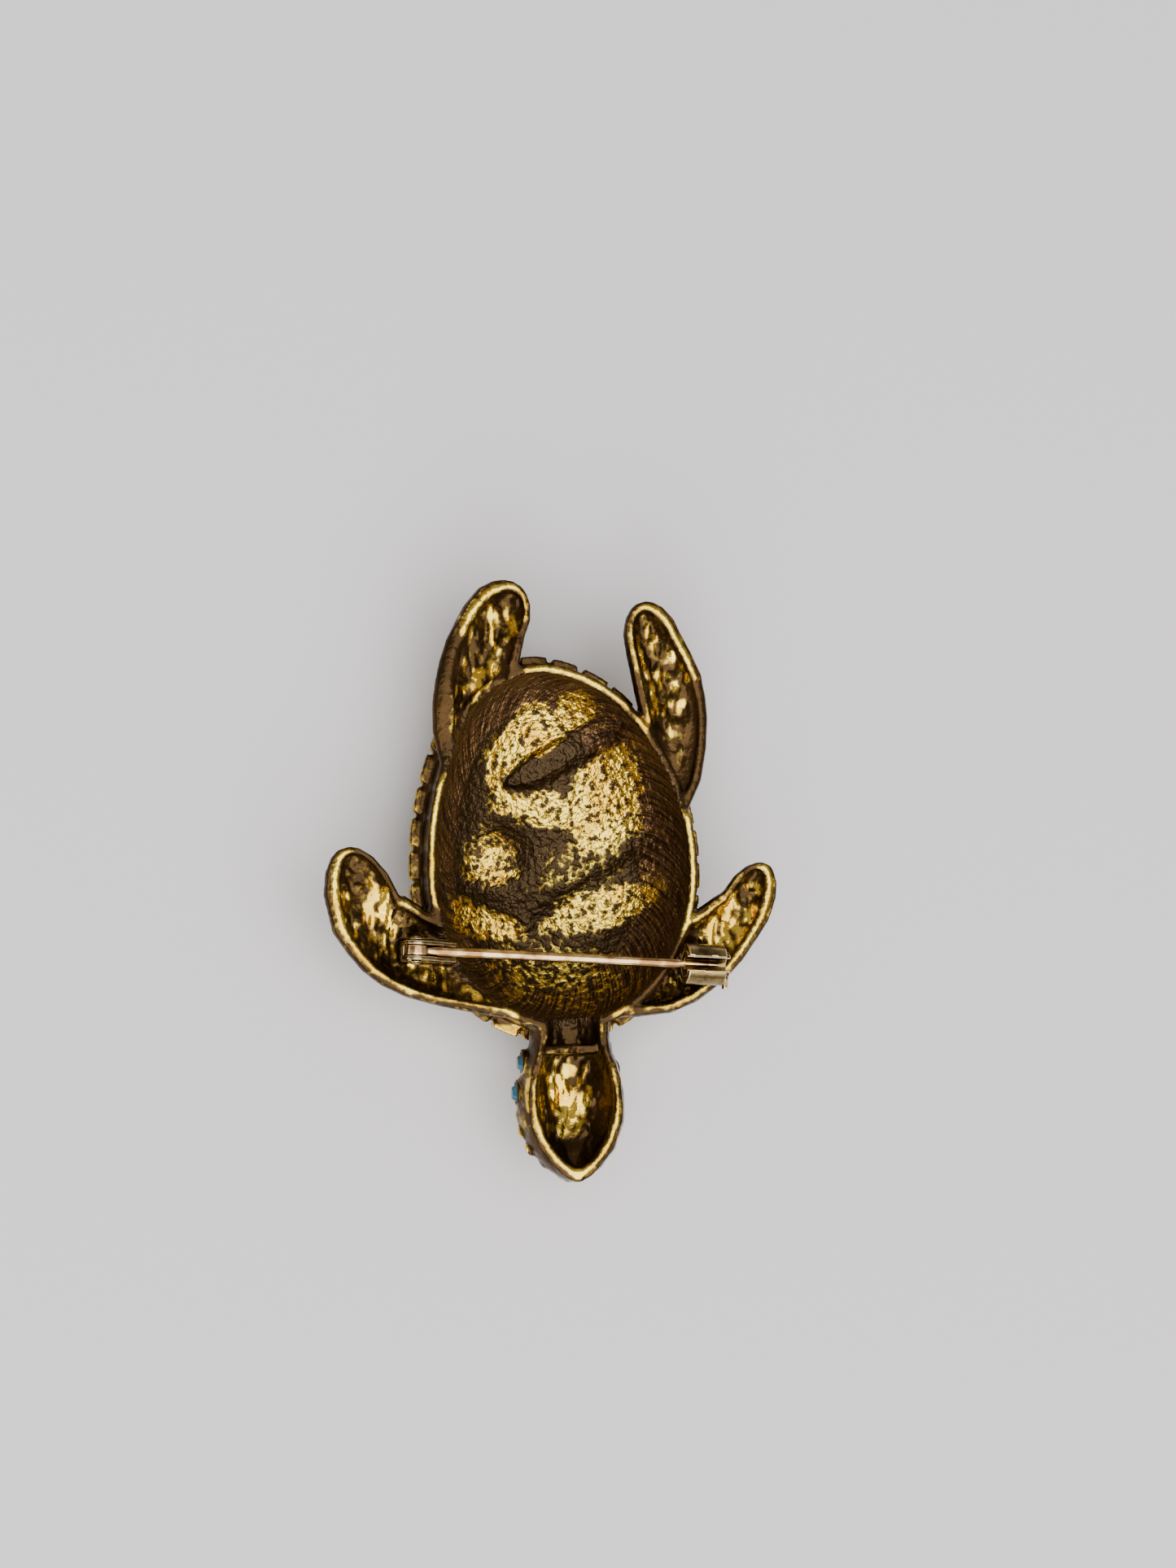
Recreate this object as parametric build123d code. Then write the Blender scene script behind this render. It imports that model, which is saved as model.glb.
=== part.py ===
from build123d import *
from collections import namedtuple
import math
import os

# Turtle brooch, cast hollow, lying on its domed front with the hollow back up.
# Millimetres. +X is the right of the back view, -Y is where the head points, +Z is out of the back.
# The origin is the middle of the flat crown scute that the brooch lies on.

# Shell: a domed front with a stepped edge, and a body wall that rises from it to the rim
total_height = 11.0
shell_half_width = 15.1
shell_tail_length = 22.0
shell_head_length = 17.2
widest_line_y = -3.1
tail_sway = -2.0
edge_thickness = 1.0
wall_height = 3.4
edge_overhang = 1.15
rim_width = 0.9
floor_thickness = 1.4

# Scutes. Shares are of the shell's half width and of its tail or head length.
seam_width = 0.65
seam_depth = 0.45
ledge_seam_depth = 0.35
marginal_count = 32
ring_share = 0.86
scute_corner_share = 0.19
scute_middle_share = 0.31
spine_seam_shares = [0.86, 0.62, 0.32, -0.06, -0.46, -0.86]

# Flippers, whose hollows open towards the body over a ridge that is lower than the rim
flipper_depth = 2.8
flipper_hollow_depth = 1.8
flipper_shoulder = 0.45
flipper_shoulder_depth = 1.1
limb_rim_width = 0.55
rear_left_reach = 20.5
rear_left_half_width = 4.2
rear_left_ridge_drop = 1.1
rear_right_reach = 20.9
rear_right_half_width = 3.65
rear_right_ridge_drop = 0.3
front_left_reach = 22.6
front_left_half_width = 4.45
front_left_ridge_drop = 3.0
front_right_reach = 20.6
front_right_half_width = 4.25
front_right_ridge_drop = 0.0

# Head
head_reach = 17.8
head_half_width = 5.5
head_depth = 5.8
head_hollow_depth = 4.2
head_shoulder = 0.85
head_shoulder_depth = 3.0
neck_ridge_share = 0.25
neck_ridge_width = 0.8
neck_ridge_drop = 1.5

# Pin, hinge and catch. Heights are above the rim.
hinge_outside_shell = 0.3
catch_inside_shell = 1.0
hinge_below_widest_line = 8.35
pin_slant = -1.9
pin_height = 1.5
stem_diameter = 0.95
stem_tip_diameter = 0.3
stem_taper_length = 5.0
stem_end_clearance = 0.4
eye_diameter = 2.2
rivet_diameter = 0.9
rivet_head_diameter = 1.5
rivet_head_height = 0.35
running_clearance = 0.06
side_clearance = 0.1
ear_thickness = 0.4
ear_diameter = 2.3
ear_length = 4.2
ear_end_height = 0.5
bracket_base_thickness = 0.6
pad_margin = 0.1
barrel_length = 3.9
barrel_diameter = 4.1
barrel_wall = 0.6
barrel_opening = 1.4
foot_length = 3.2
foot_width = 1.8
sleeve_bore_diameter = 1.25
sleeve_collar_length = 0.45
tab_width = 0.9
tab_reach = 2.4

# Stones in collars on the flanks of the head
stone_diameter = 2.0
stone_table_diameter = 1.2
stone_crown_height = 0.5
stone_girdle_height = 0.12
stone_pavilion_height = 0.5
stone_culet_diameter = 0.5
stone_clearance = 0.05
stone_seat_depth = 0.05
collar_wall = 0.28
collar_root = 1.0

# Heights worked out from the sizes above, and how far a cutting tool goes past what it cuts
rim_z = total_height
ledge_z = rim_z - wall_height
edge_z = ledge_z - edge_thickness
tool_lift = 2.0

# The dome from the crown scute to its edge: share of the dome's height, share of the shell's size
dome_rows = [(0.0, 0.36), (0.16, 0.62), (0.39, 0.80), (0.70, 0.935), (1.0, 1.0)]

# The hollow from the rim to its floor: share of the hollow's depth, share of the shell's size
hollow_rows = [(0.0, 1.0), (0.4, 0.965), (0.64, 0.88), (0.84, 0.74), (1.0, 0.42)]

# A limb from root to tip: share of its reach along the straight line to the tip, share of its reach
# to the left of that line, share of its half width, and how much thicker its left side is than its rim
Station = namedtuple("Station", "along aside width thicker", defaults=[0.0])
rear_left_stations = [Station(0.0, 0.04, 0.90, 1.3), Station(0.26, 0.125, 1.0, 1.15),
                      Station(0.46, 0.141, 0.99, 0.8), Station(0.64, 0.126, 0.94, 0.4),
                      Station(0.80, 0.087, 0.84, 0.1)]
rear_right_stations = [Station(0.0, -0.02, 0.86), Station(0.17, -0.115, 0.90), Station(0.42, -0.142, 0.98),
                       Station(0.60, -0.118, 1.0), Station(0.78, -0.062, 0.86)]
front_left_stations = [Station(0.0, 0.0, 0.90), Station(0.22, 0.092, 0.98), Station(0.445, 0.183, 1.0),
                       Station(0.60, 0.198, 0.99), Station(0.74, 0.180, 0.88)]
front_right_stations = [Station(0.0, 0.0, 0.92), Station(0.25, -0.13, 1.0), Station(0.43, -0.157, 0.94),
                        Station(0.60, -0.150, 0.83), Station(0.79, -0.112, 0.66)]
head_stations = [Station(0.0, 0.0, 0.76), Station(0.20, 0.0, 0.75), Station(0.34, 0.0, 0.89),
                 Station(0.50, 0.0, 1.0), Station(0.66, 0.0, 0.99)]

# Past the last station the limb narrows to a round tip, at these shares of what is left of its reach
tip_steps = [0.45, 0.75, 0.92, 0.985]
tip_depth_share = 0.45
flipper_roundness = 2.0
head_roundness = 1.55

# Each stone: the side of the head it is on, how far along the head, how many degrees it points down
# towards the front, and how far its collar stands out
Stone = namedtuple("Stone", "side share tilt proud")
stones = {
    "stone_left_neck": Stone(-1, 0.315, 5.0, 0.1),
    "stone_left_cheek": Stone(-1, 0.485, 5.0, 0.05),
    "stone_right_neck": Stone(1, 0.365, 43.0, 0.3),
    "stone_right_cheek": Stone(1, 0.53, 48.0, 0.3),
}

# Each limb: where its root lies as shares of the shell, its heading in degrees, and its own sizes
Limb = namedtuple("Limb", "across along heading reach half_width depth hollow_depth shoulder "
                          "shoulder_depth roundness ridge_drop stations")


def flipper(across, along, heading, reach, half_width, ridge_drop, stations):
    return Limb(across, along, heading, reach, half_width, flipper_depth, flipper_hollow_depth,
                flipper_shoulder, flipper_shoulder_depth, flipper_roundness, ridge_drop, stations)


flippers = [
    flipper(-0.46, 0.39, 83.0, rear_left_reach, rear_left_half_width, rear_left_ridge_drop,
            rear_left_stations),
    flipper(0.62, 0.30, 92.9, rear_right_reach, rear_right_half_width, rear_right_ridge_drop,
            rear_right_stations),
    flipper(-0.265, -0.645, 144.8, front_left_reach, front_left_half_width, front_left_ridge_drop,
            front_left_stations),
    flipper(0.298, -0.63, 35.5, front_right_reach, front_right_half_width, front_right_ridge_drop,
            front_right_stations),
]
head = Limb(0.066, -0.78, -88.1, head_reach, head_half_width, head_depth, head_hollow_depth,
            head_shoulder, head_shoulder_depth, head_roundness, head_hollow_depth, head_stations)


def shell_length(direction):
    return shell_tail_length if direction > 0 else shell_head_length


def egg_point(angle, share, inset):
    """A plan point of the shell's egg outline, scaled about its widest line, then moved inwards."""
    rise = math.sin(math.radians(angle))
    run = math.cos(math.radians(angle))
    sway = share * tail_sway * max(rise, 0.0) ** 2
    return ((share * shell_half_width - inset) * run + sway,
            widest_line_y + (share * shell_length(rise) - inset) * rise)


def shell_point(across, along):
    """A plan point from shares of the shell's half width and of its tail or head length."""
    sway = tail_sway * max(along, 0.0) ** 2
    return across * shell_half_width + sway, widest_line_y + along * shell_length(along)


def egg_wire(share, inset, z):
    """The closed egg outline at height z, as eight arcs."""
    arc_count = 8
    step = 360 / (2 * arc_count)
    points = [Vector(*egg_point(step * i, share, inset), z) for i in range(2 * arc_count + 1)]
    return Wire([Edge.make_three_point_arc(*points[i:i + 3]) for i in range(0, 2 * arc_count, 2)])


def egg_prism(share, inset, low, high):
    return Solid.extrude(Face(egg_wire(share, inset, low)), Vector(0, 0, high - low))


def dome(inset):
    """The dome up to its edge, with every side moved inwards."""
    sections = [egg_wire(share, inset, inset + level * edge_z) for level, share in dome_rows]
    return Solid.make_loft(sections)


def seam_strip(start, end):
    """A flat strip as wide as a seam from start to end in plan, a little longer at each end."""
    a, b = Vector(*start), Vector(*end)
    middle = (a + b) * 0.5
    angle = math.degrees(math.atan2(b.Y - a.Y, b.X - a.X))
    length = (b - a).length + seam_width / 2
    return Location((middle.X, middle.Y, 0), (0, 0, angle)) * Rectangle(length, seam_width)


def marginal_angles():
    """Angles of the marginal seams, spaced evenly along the shell's edge."""
    steps = 720
    points = [Vector(*egg_point(360 * i / steps, 1, 0)) for i in range(steps + 1)]
    walked = [0.0]
    for before, after in zip(points, points[1:]):
        walked.append(walked[-1] + (after - before).length)
    pitch = walked[-1] / marginal_count
    angles = []
    for i, length in enumerate(walked):
        if len(angles) < marginal_count and length >= pitch * (len(angles) + 0.5):
            angles.append(360 * i / steps)
    return angles


def spine_strips():
    """Seams round the scutes down the spine, and those from their corners out to the ring."""
    strips = []
    for along in spine_seam_shares:
        strips.append(seam_strip(shell_point(-scute_corner_share, along),
                                 shell_point(scute_corner_share, along)))
    for before, after in zip(spine_seam_shares, spine_seam_shares[1:]):
        middle = (before + after) / 2
        ring_across = ring_share * math.sqrt(1 - (middle / ring_share) ** 2)
        for side in (-1, 1):
            corner = shell_point(side * scute_middle_share, middle)
            strips.append(seam_strip(shell_point(side * scute_corner_share, before), corner))
            strips.append(seam_strip(corner, shell_point(side * scute_corner_share, after)))
            strips.append(seam_strip(corner, shell_point(side * ring_across, middle)))
    return strips


def marginal_strips(start_share):
    return [seam_strip(egg_point(angle, start_share, 0), egg_point(angle, 1, -seam_width))
            for angle in marginal_angles()]


def dome_seams():
    """What is cut from the dome between its raised scutes."""
    half = seam_width / 2
    ring = Face(egg_wire(ring_share, -half, 0)) - Face(egg_wire(ring_share, half, 0))
    net = extrude(Sketch() + [ring] + spine_strips() + marginal_strips(ring_share), ledge_z + tool_lift)
    core = dome(seam_depth) + egg_prism(1, seam_depth, edge_z + seam_depth, ledge_z + tool_lift)
    return Pos(0, 0, -tool_lift / 2) * net - core


def ledge_seams():
    """What is cut from the ledge between the shell's edge and the body wall."""
    inner_share = ring_share + (1 - ring_share) / 3
    strips = extrude(Sketch() + marginal_strips(inner_share), ledge_seam_depth + tool_lift / 4)
    wall = egg_prism(1, edge_overhang - seam_width / 3, ledge_z - wall_height, rim_z)
    return Pos(0, 0, ledge_z - ledge_seam_depth) * strips - wall


def body_outside():
    wall = egg_prism(1, edge_overhang, edge_z, rim_z)
    edge = egg_prism(1, 0, edge_z, ledge_z)
    return dome(0) + edge - dome_seams() - ledge_seams() + wall


def body_hollow():
    depth = rim_z - floor_thickness
    inset = edge_overhang + rim_width
    sections = [egg_wire(share, inset, rim_z - level * depth) for level, share in hollow_rows]
    mouth = egg_wire(1, inset, rim_z + tool_lift)
    return Solid.make_loft([mouth, sections[0]], ruled=True) + Solid.make_loft(sections)


def with_middles(rows):
    """The rows with one more between each two, on a smooth curve through them."""
    padded = [rows[0]] + rows + [rows[-1]]
    result = []
    for before, here, after, beyond in zip(padded, padded[1:], padded[2:], padded[3:]):
        result.append(here)
        result.append(tuple((9 * (b + c) - a - d) / 16 for a, b, c, d in zip(before, here, after, beyond)))
    return result + [rows[-1]]


def limb_root(limb):
    return Vector(*shell_point(limb.across, limb.along), rim_z)


def limb_path(limb, inset):
    """Centre, heading and half width of each section, from the root to the round tip."""
    rows = []
    for station in limb.stations:
        thicker = station.thicker / 2 if inset > 0 else 0
        rows.append((station.along, station.aside - thicker / limb.reach,
                     station.width * limb.half_width - inset - thicker))
    rows = with_middles(rows)
    last_along, last_aside, last_width = rows[-1]
    for step in tip_steps:
        narrowing = (1 - step ** limb.roundness) ** (1 / limb.roundness)
        rows.append((last_along + (1 - last_along) * step, last_aside * (1 - step), last_width * narrowing))
    ahead = Vector(1, 0, 0).rotate(Axis.Z, limb.heading)
    left = ahead.rotate(Axis.Z, 90)
    centres = [limb_root(limb) + ahead * (along * (limb.reach - inset)) + left * (aside * limb.reach)
               for along, aside, width in rows]
    path = []
    for i, (along, aside, width) in enumerate(rows):
        before = centres[max(i - 1, 0)]
        after = centres[min(i + 1, len(rows) - 1)]
        path.append((centres[i], (after - before).normalized(), width))
    return path


def closed_section(centre, heading, lines):
    """A wire across the limb from lines (two points) and arcs (three): sideways, then down from the rim."""
    plane = Plane(origin=centre, x_dir=Vector(heading.Y, -heading.X, 0), z_dir=heading)
    edges = []
    for line in lines:
        points = [plane.from_local_coords(Vector(u, v, 0)) for u, v in line]
        edges.append(Edge.make_line(*points) if len(line) == 2 else Edge.make_three_point_arc(*points))
    return Wire(edges)


def limb_outside(limb):
    sections = []
    for centre, heading, width in limb_path(limb, 0):
        fullness = tip_depth_share + (1 - tip_depth_share) * width / limb.half_width
        shoulder = min(limb.shoulder, width * 0.45)
        top = width - shoulder
        side = limb.shoulder_depth * fullness
        deep = limb.depth * fullness
        bend = (width - shoulder * 0.3, side * 0.45)
        sections.append(closed_section(centre, heading, [
            ((-top, 0), (top, 0)),
            ((top, 0), bend, (width, side)),
            ((width, side), (0, deep), (-width, side)),
            ((-width, side), (-bend[0], bend[1]), (-top, 0)),
        ]))
    return Solid.make_loft(sections, ruled=True)


def limb_hollow(limb):
    inset = limb.shoulder + limb_rim_width
    sections = []
    for centre, heading, width in limb_path(limb, inset):
        fullness = tip_depth_share + (1 - tip_depth_share) * width / (limb.half_width - inset)
        deep = limb.hollow_depth * fullness
        side = deep * 0.3
        foot = width * 0.95
        sections.append(closed_section(centre, heading, [
            ((-width, -tool_lift), (width, -tool_lift)),
            ((width, -tool_lift), (foot, side)),
            ((foot, side), (0, deep), (-foot, side)),
            ((-foot, side), (-width, -tool_lift)),
        ]))
    return Solid.make_loft(sections, ruled=True)


def root_ridge(limb):
    """The body wall where it stays between the body's hollow and a flipper's, lower than the rim."""
    return egg_prism(1, edge_overhang, -tool_lift, rim_z - limb.ridge_drop)


def neck_ridge():
    """The low ridge across the neck, between the body's hollow and the head's."""
    ahead = Vector(1, 0, 0).rotate(Axis.Z, head.heading)
    middle = limb_root(head) + ahead * (neck_ridge_share * head.reach)
    height = total_height - neck_ridge_drop
    place = Location((middle.X, middle.Y, height / 2), (0, 0, head.heading))
    return place * Box(neck_ridge_width, 2 * head.half_width, height)


# The pin's own frame: the rivet's middle over the rim, with X along the stem
hinge_x = -(shell_half_width + hinge_outside_shell)
hinge_y = widest_line_y - hinge_below_widest_line
pin_span = 2 * shell_half_width + hinge_outside_shell - catch_inside_shell
pin_frame = Location((hinge_x, hinge_y, rim_z), (0, 0, pin_slant))
ear_gap = stem_diameter + 2 * side_clearance
bracket_width = ear_gap + 2 * ear_thickness
bracket_base_top = pin_height - eye_diameter / 2 - side_clearance
bracket_base_low = bracket_base_top - bracket_base_thickness


def upright_block(middle, length, width, top):
    """A block from the crown up to a height over the rim, in the pin's frame."""
    height = total_height + top
    return pin_frame * Pos(middle, 0, top - height / 2) * Box(length, width, height)


def hinge_pad():
    """The spot of the casting that stays solid under the hinge bracket."""
    low_end = -ear_diameter / 2 - pad_margin
    high_end = ear_length + pad_margin
    top = bracket_base_low + bracket_base_thickness / 2
    return upright_block((low_end + high_end) / 2, high_end - low_end, bracket_width + 2 * pad_margin, top)


def catch_foot():
    """The spot of the casting that stays solid under the barrel of the catch."""
    top = pin_height - barrel_diameter / 2 + barrel_wall / 2
    return upright_block(pin_span, foot_length, foot_width, top)


def casting():
    """The turtle without its findings: body, flippers and head, hollow from behind."""
    cast = body_outside()
    for limb in flippers + [head]:
        cast += limb_outside(limb)
    cast -= body_hollow()
    solid_spots = hinge_pad() + catch_foot()
    for limb in flippers:
        cast -= limb_hollow(limb) - root_ridge(limb) - solid_spots
    return cast - (limb_hollow(head) - neck_ridge())


def rivet_hole(width):
    return Rot(90, 0, 0) * Cylinder(rivet_diameter / 2 + running_clearance, width)


def hinge_bracket():
    """Two ears on one base, with a hole for the rivet."""
    radius = ear_diameter / 2
    lean = math.radians(60)
    outline = Polyline((-radius, bracket_base_low), (ear_length, bracket_base_low),
                       (ear_length, bracket_base_top + ear_end_height),
                       (radius * math.cos(lean), pin_height + radius * math.sin(lean)),
                       (0, pin_height), (-radius, pin_height), close=True)
    ears = make_face(Plane.XZ * outline) + Plane.XZ * Pos(0, pin_height) * Circle(radius)
    room = Pos(0, 0, bracket_base_top + total_height / 2) * Box(3 * ear_length, ear_gap, total_height)
    bracket = extrude(ears, bracket_width / 2, both=True) - room
    return pin_frame * (bracket - Pos(0, 0, pin_height) * rivet_hole(2 * bracket_width))


def slotted_ring(outer_radius, inner_radius, slot_width):
    """A ring across the stem with a slot that opens upwards."""
    return (Circle(outer_radius) - Circle(inner_radius)
            - Pos(0, outer_radius) * Rectangle(slot_width, 2 * outer_radius))


def catch_barrel():
    profile = slotted_ring(barrel_diameter / 2, barrel_diameter / 2 - barrel_wall, barrel_opening)
    barrel = extrude(Plane.YZ * profile, barrel_length / 2, both=True)
    return pin_frame * Pos(pin_span, 0, pin_height) * barrel


def catch_sleeve():
    """The turning sleeve, with a slotted bore for the stem and a thumb tab past the barrel's end."""
    radius = barrel_diameter / 2 - barrel_wall - running_clearance
    profile = slotted_ring(radius, sleeve_bore_diameter / 2, sleeve_bore_diameter)
    sleeve = extrude(Plane.YZ * profile, barrel_length + side_clearance + sleeve_collar_length)
    tab_root = (sleeve_bore_diameter / 2 + radius) / 2
    tab_face = Pos(-(tab_root + tab_reach) / 2, 0) * Rectangle(tab_reach - tab_root, tab_width)
    tab = Pos(barrel_length + side_clearance, 0, 0) * extrude(Plane.YZ * tab_face, sleeve_collar_length)
    return pin_frame * Pos(pin_span - barrel_length / 2, 0, pin_height) * (sleeve + tab)


def hinge_rivet():
    grip = bracket_width + 2 * side_clearance
    rivet = Rot(90, 0, 0) * Cylinder(rivet_diameter / 2, grip + rivet_head_height)
    for side in (-1, 1):
        rivet_head = Solid.make_cone(rivet_head_diameter / 2, rivet_diameter / 2, rivet_head_height)
        rivet += Pos(0, side * grip / 2, 0) * Rot(-side * 90, 0, 0) * rivet_head
    return pin_frame * Pos(0, 0, pin_height) * rivet


def pin_stem():
    """The wire: an eye on the rivet, a straight run and a taper to the point in the catch."""
    eye = Rot(90, 0, 0) * Cylinder(eye_diameter / 2, stem_diameter)
    tip_x = pin_span + barrel_length / 2 - stem_end_clearance
    taper_x = tip_x - stem_taper_length
    start_x = eye_diameter / 4
    along_x = Rot(0, 90, 0)
    run = Pos(start_x, 0, 0) * along_x * Solid.make_cylinder(stem_diameter / 2, taper_x - start_x)
    point = Solid.make_cone(stem_diameter / 2, stem_tip_diameter / 2, stem_taper_length)
    wire = eye + run + Pos(taper_x, 0, 0) * along_x * point - rivet_hole(2 * stem_diameter)
    return pin_frame * Pos(0, 0, pin_height) * wire


def octagon_wire(diameter, height):
    corners = [Vector(diameter / 2, 0, height).rotate(Axis.Z, 45 * i + 22.5) for i in range(8)]
    return Wire.make_polygon(corners, close=True)


def cut_stone():
    """A stone with its girdle's top at height 0, an eight sided table over it and a short pavilion."""
    levels = [(stone_culet_diameter, -stone_girdle_height - stone_pavilion_height),
              (stone_diameter, -stone_girdle_height),
              (stone_diameter, 0),
              (stone_table_diameter, stone_crown_height)]
    return Solid.make_loft([octagon_wire(diameter, height) for diameter, height in levels], ruled=True)


def stone_place(stone):
    """Where the foot of a stone's collar sits on the head's flank, with Z pointing out of it.
    A stone that points down less than the belly does at its edge sits on the flank's widest line."""
    path = limb_path(head, 0)
    ahead = Vector(1, 0, 0).rotate(Axis.Z, head.heading)
    reaches = [(centre - limb_root(head)).dot(ahead) for centre, heading, width in path]
    i = max(k for k, reach in enumerate(reaches) if reach <= stone.share * head.reach)
    part = (stone.share * head.reach - reaches[i]) / (reaches[i + 1] - reaches[i])
    centre = path[i][0] + (path[i + 1][0] - path[i][0]) * part
    width = path[i][2] + (path[i + 1][2] - path[i][2]) * part
    drop = head.depth - head.shoulder_depth
    belly_radius = (width ** 2 + drop ** 2) / (2 * drop)
    belly_edge = math.degrees(math.atan2(belly_radius - drop, width))
    out = ahead.rotate(Axis.Z, 90) * stone.side

    def pointing(tilt):
        return out * math.cos(math.radians(tilt)) - Vector(0, 0, math.sin(math.radians(tilt)))

    belly_middle = centre - Vector(0, 0, head.depth - belly_radius)
    spot = belly_middle + pointing(max(stone.tilt, belly_edge)) * belly_radius
    return Plane(origin=spot, x_dir=ahead, z_dir=pointing(stone.tilt)).location


def stone_collar(stone):
    radius = stone_diameter / 2 + stone_clearance + collar_wall
    return Pos(0, 0, (stone.proud - collar_root) / 2) * Cylinder(radius, stone.proud + collar_root)


def stone_socket(stone):
    """Room for the stone, whose girdle sits a little below the collar's edge."""
    deep = stone_girdle_height + stone_pavilion_height + stone_seat_depth + stone_clearance
    return Pos(0, 0, stone.proud + (tool_lift - deep) / 2) * Cylinder(
        stone_diameter / 2 + stone_clearance, tool_lift + deep)


turtle_casting = casting() + hinge_bracket() + catch_barrel()
for stone in stones.values():
    turtle_casting += stone_place(stone) * stone_collar(stone)
for stone in stones.values():
    turtle_casting -= stone_place(stone) * stone_socket(stone)

pieces = {
    "turtle_casting": turtle_casting,
    "hinge_rivet": hinge_rivet(),
    "pin_stem": pin_stem(),
    "catch_sleeve": catch_sleeve(),
}
for stone_name, stone in stones.items():
    pieces[stone_name] = stone_place(stone) * Pos(0, 0, stone.proud - stone_seat_depth) * cut_stone()

os.makedirs("parts", exist_ok=True)
for node, piece in pieces.items():
    export_step(piece, f"parts/{node}.step")
    print(node, "solids", len(piece.solids()), "volume", round(piece.volume, 1), "valid", piece.is_valid)
balance = turtle_casting.center(CenterOf.MASS)
print("centre of mass of the casting", round(balance.X, 2), round(balance.Y, 2), round(balance.Z, 2))
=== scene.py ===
import math
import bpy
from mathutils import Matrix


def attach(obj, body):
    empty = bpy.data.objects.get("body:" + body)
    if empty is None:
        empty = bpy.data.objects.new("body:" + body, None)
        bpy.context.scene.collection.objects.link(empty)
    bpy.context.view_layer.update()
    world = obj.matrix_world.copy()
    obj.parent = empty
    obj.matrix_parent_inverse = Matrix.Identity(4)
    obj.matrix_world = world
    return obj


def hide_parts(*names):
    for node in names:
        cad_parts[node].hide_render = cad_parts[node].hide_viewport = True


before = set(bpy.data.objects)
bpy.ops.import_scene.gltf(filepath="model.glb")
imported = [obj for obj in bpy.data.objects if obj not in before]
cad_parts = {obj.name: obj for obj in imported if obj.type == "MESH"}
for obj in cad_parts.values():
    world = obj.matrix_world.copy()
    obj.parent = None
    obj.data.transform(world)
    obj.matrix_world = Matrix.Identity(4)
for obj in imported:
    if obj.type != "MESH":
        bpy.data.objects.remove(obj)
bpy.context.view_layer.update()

from types import SimpleNamespace

import bmesh
import bpy
import numpy as np
from mathutils import Matrix, Vector
from mathutils.kdtree import KDTree

# Turtle brooch on its domed front, with its hollow back up. Lengths are in millimetres, and each
# mesh is made a thousandth of its size when it is finished, because the scene is in metres.
MM = 0.001

# Sizes of the solid model that the looks follow: the rim of the hollows, and the ledge at the shell's edge
rim_z = 11.0
rim_half_width = 0.45
ledge_z = 7.6
# The egg outline of the shell, and how far inside it the hollow of the body starts
shell_half_width = 15.1
shell_tail_length = 22.0
shell_head_length = 17.2
widest_line_y = -3.1
tail_sway = -2.0
hollow_inset = 2.05
# The scutes, as shares of the egg outline, and the number of edge plates
ring_share = 0.86
scute_corner_share = 0.19
scute_middle_share = 0.31
spine_seam_shares = [0.86, 0.62, 0.32, -0.06, -0.46, -0.86]
edge_plate_count = 32
# The head and the flippers: where the neck starts, and what bounds their hollows
neck_y = -18.4
head_middle_x = 1.2
head_hollow_half_width = 4.4
flipper_floor_z = 8.95
# The stones, and the collars round them
stone_crown = 0.5
stone_seat = 0.05
collar_inside = 1.05
collar_outside = 1.36
collar_height = 0.55

# Mesh steps of the casting's surface and of the findings', and what the casting's is thinned to
casting_step = 0.21
casting_triangles = 186_000
findings_step = 0.08
# Rounds of smoothing that wear the edges of the findings and the pin
edge_wear = {"findings": 12, "pin": 8, "rivet": 8, "sleeve": 10}

# Where the casting is cut into its own skin and the findings that stand on it, above the rim
skin_top = 0.015
findings_foot = 0.01

# Rims: how much lower their sides are than their middle, how deep a band counts as their top, how far down
# their wear reaches, and how far apart the points are that mark the edges of the flat top
rim_crown = 0.3
rim_top_band = 0.12
rim_wear_depth = 1.6
rim_edge_step = 0.08

# Pebbled skin on the fronts of the flippers and the head
pebble_spacing = 1.5
pebble_radius = 0.72
pebble_height = 0.24
pebble_seed = 7
# What the pebbles keep clear of: the stones and the rim, in millimetres, the shell, as a share of its
# outline, and faces whose normal isn't at least this far down
pebbles_from_stones = 2.2
pebbles_below_rim = 2.0
pebbles_from_shell = 1.06
pebbles_facing = -0.35

# Facets in the hollows of the flippers and the head: how wide they are, how many times that long at the two
# ends of the brooch and in its middle, their reach in height, and how high they and finer ones stand
facet_width = 0.6
facet_stretch_at_ends = 2.0
facet_stretch_in_middle = 1.2
facet_reach = 3.0
facet_height = 0.29
fine_facet_height = 0.1
# How high the sandy floor's two sizes of lumps stand, how far the scutes sink at their seams, and how ragged
# the outline is near the rim, sideways and upwards
sand_height = 0.08
fine_sand_height = 0.05
seam_depth = 0.14
ragged_sideways = 0.05
ragged_upwards = 0.04

# Grain of the casting's metal: the size of the sand in the mould and of the blotches of tarnish, and how
# deep it all is
sand_grain = 0.33
tarnish_blotch = 1.8
grain_depth = 0.38
# The brush that cleaned the walls left marks about half a millimetre apart and some 4 mm long, at a slant.
# They are measured along a wall of about this radius.
brush_scale = (2.8, 0.3, 1.0)
brush_slant = 0.8
wall_radius = 15


# Materials

def linear(hex_colour):
    """An sRGB hex value as linear red, green, blue and alpha."""
    parts = [int(hex_colour[i:i + 2], 16) / 255 for i in (1, 3, 5)]
    return [c / 12.92 if c <= 0.04045 else ((c + 0.055) / 1.055) ** 2.4 for c in parts] + [1.0]


def add_node(tree, kind, settings=None, inputs=None):
    """Adds a node, sets its properties, and sets or links its inputs by identifier, name or number."""
    made = tree.nodes.new(kind)
    for name, value in (settings or {}).items():
        setattr(made, name, value)
    for key, value in (inputs or {}).items():
        socket = next((s for s in made.inputs if s.identifier == key), None) or made.inputs[key]
        if isinstance(value, bpy.types.NodeSocket):
            tree.links.new(value, socket)
        else:
            socket.default_value = value
    return made


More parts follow.
